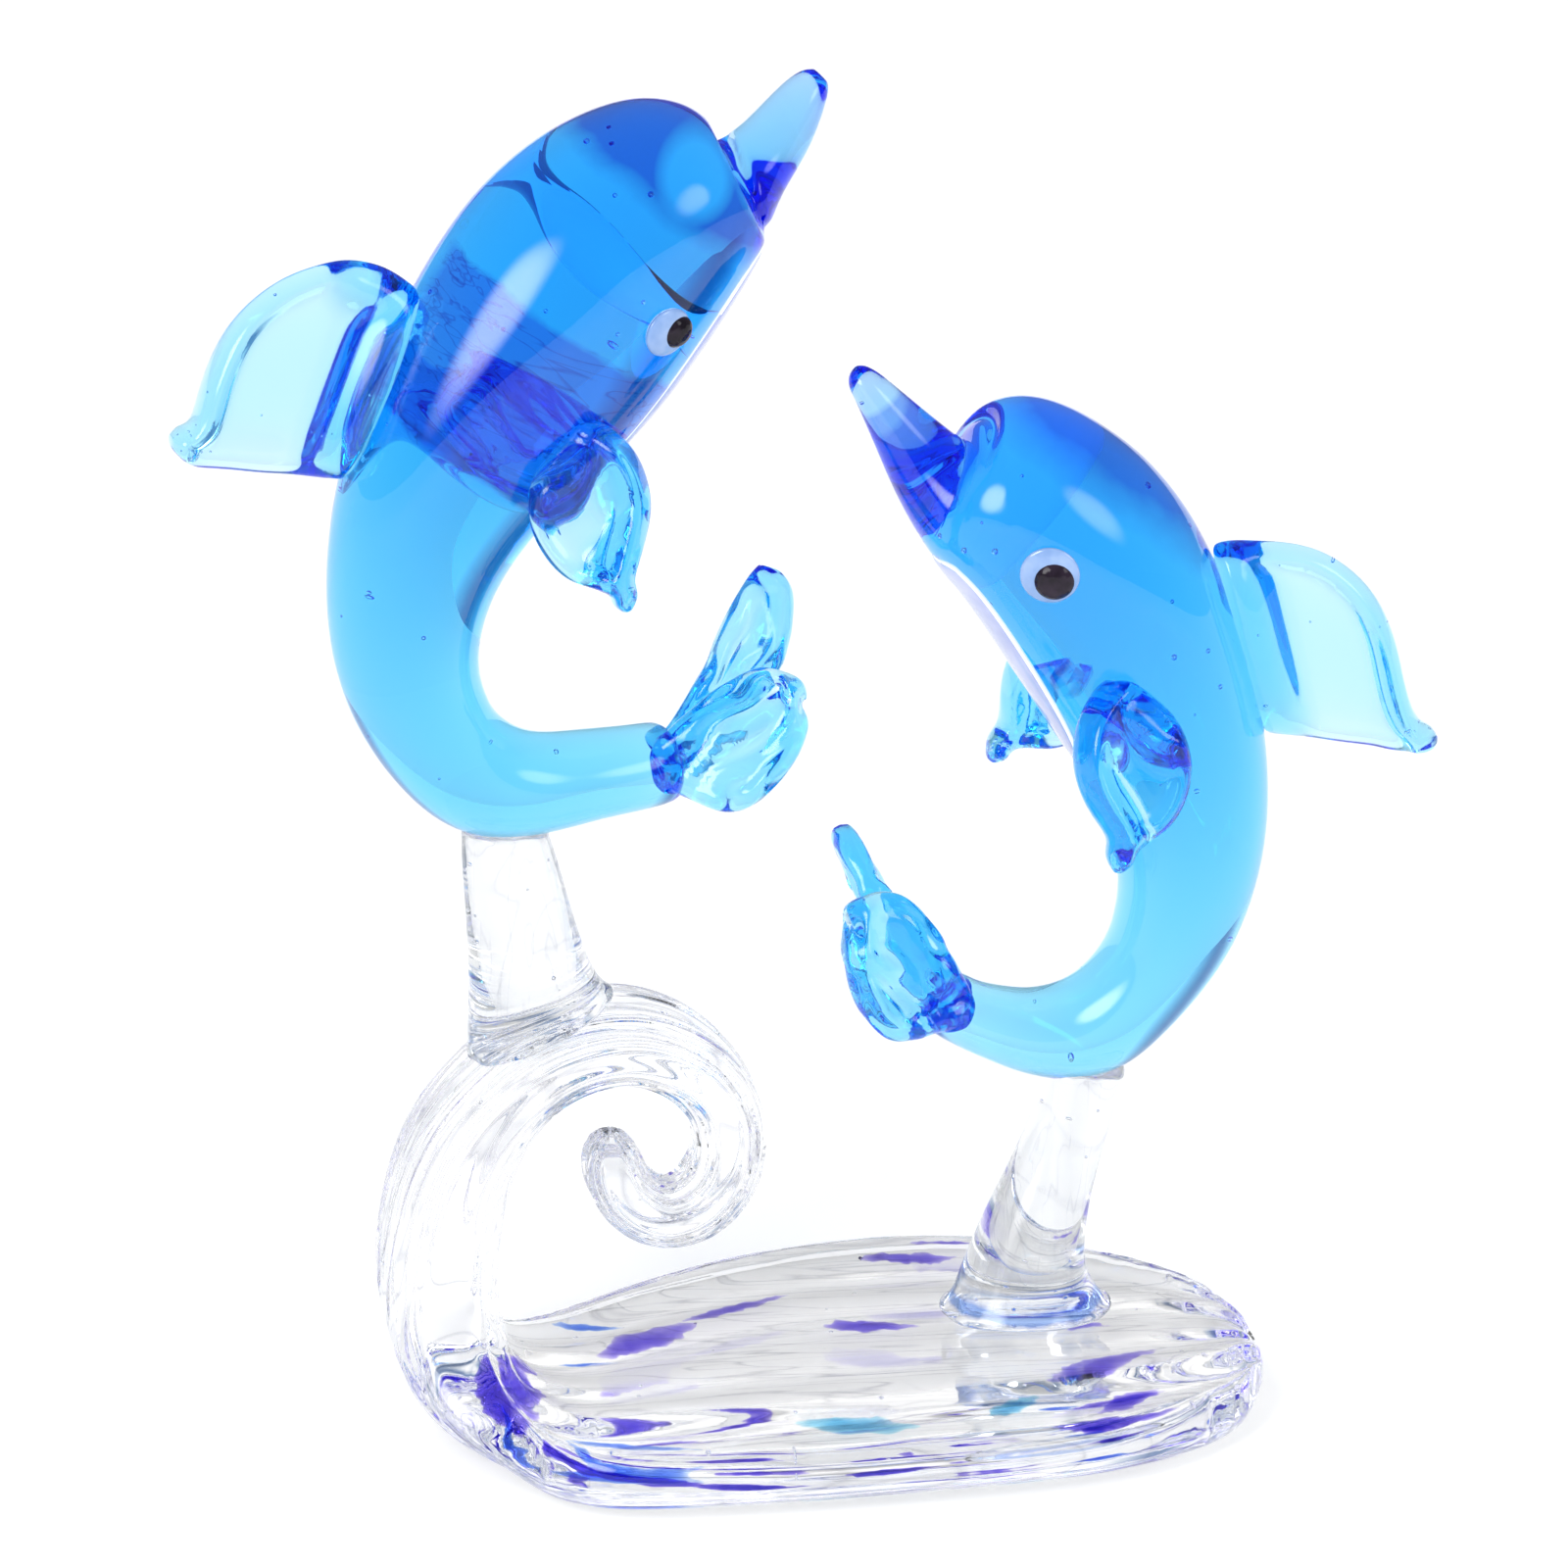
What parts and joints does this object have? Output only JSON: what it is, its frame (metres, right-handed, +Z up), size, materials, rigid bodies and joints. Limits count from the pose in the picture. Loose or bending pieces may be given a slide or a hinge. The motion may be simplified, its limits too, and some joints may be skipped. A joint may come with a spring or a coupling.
{
  "type": "glass figurine",
  "caption": "Hot-worked glass figurine: curled blue dolphins on clear posts above a clear wave-shaped base with enclosed colour.",
  "frame": {"origin": "on the base's flat underside, halfway along the slab, in the plane that both posts stand in; the slab reaches further towards -Y than towards +Y", "axes": "+Z up; -X towards the wave's curl, +X towards the slab's free end; -Y is the front, the side a viewer faces"},
  "size_m": [0.0896, 0.0402, 0.0975],
  "materials": {
    "clear_glass": "gloss, clear",
    "blue_glass": "gloss, transparent blue",
    "opal_glass": "gloss, opal white",
    "black_glass": "gloss, opaque black",
    "violet_glass": "transparent violet, enclosed",
    "cobalt_glass": "transparent blue, enclosed",
    "turquoise_glass": "transparent turquoise, enclosed"
  },
  "bodies": {
    "figurine": {"wave_base": "clear_glass", "scroll_post": "clear_glass", "base_post": "clear_glass", "violet_streaks": "violet_glass", "blue_streaks": "cobalt_glass", "turquoise_patch": "turquoise_glass", "upper_dolphin_body": "blue_glass", "upper_dolphin_belly_stripe": "opal_glass", "upper_dolphin_dorsal_fin": "blue_glass", "upper_dolphin_front_flipper": "blue_glass", "upper_dolphin_rear_flipper": "blue_glass", "upper_dolphin_front_fluke": "blue_glass", "upper_dolphin_rear_fluke": "blue_glass", "upper_dolphin_front_eye": "opal_glass", "upper_dolphin_rear_eye": "opal_glass", "upper_dolphin_front_pupil": "black_glass", "upper_dolphin_rear_pupil": "black_glass", "lower_dolphin_body": "blue_glass", "lower_dolphin_belly_stripe": "opal_glass", "lower_dolphin_dorsal_fin": "blue_glass", "lower_dolphin_front_flipper": "blue_glass", "lower_dolphin_rear_flipper": "blue_glass", "lower_dolphin_front_fluke": "blue_glass", "lower_dolphin_rear_fluke": "blue_glass", "lower_dolphin_front_eye": "opal_glass", "lower_dolphin_rear_eye": "opal_glass", "lower_dolphin_front_pupil": "black_glass", "lower_dolphin_rear_pupil": "black_glass"}
  },
  "joints": []
}
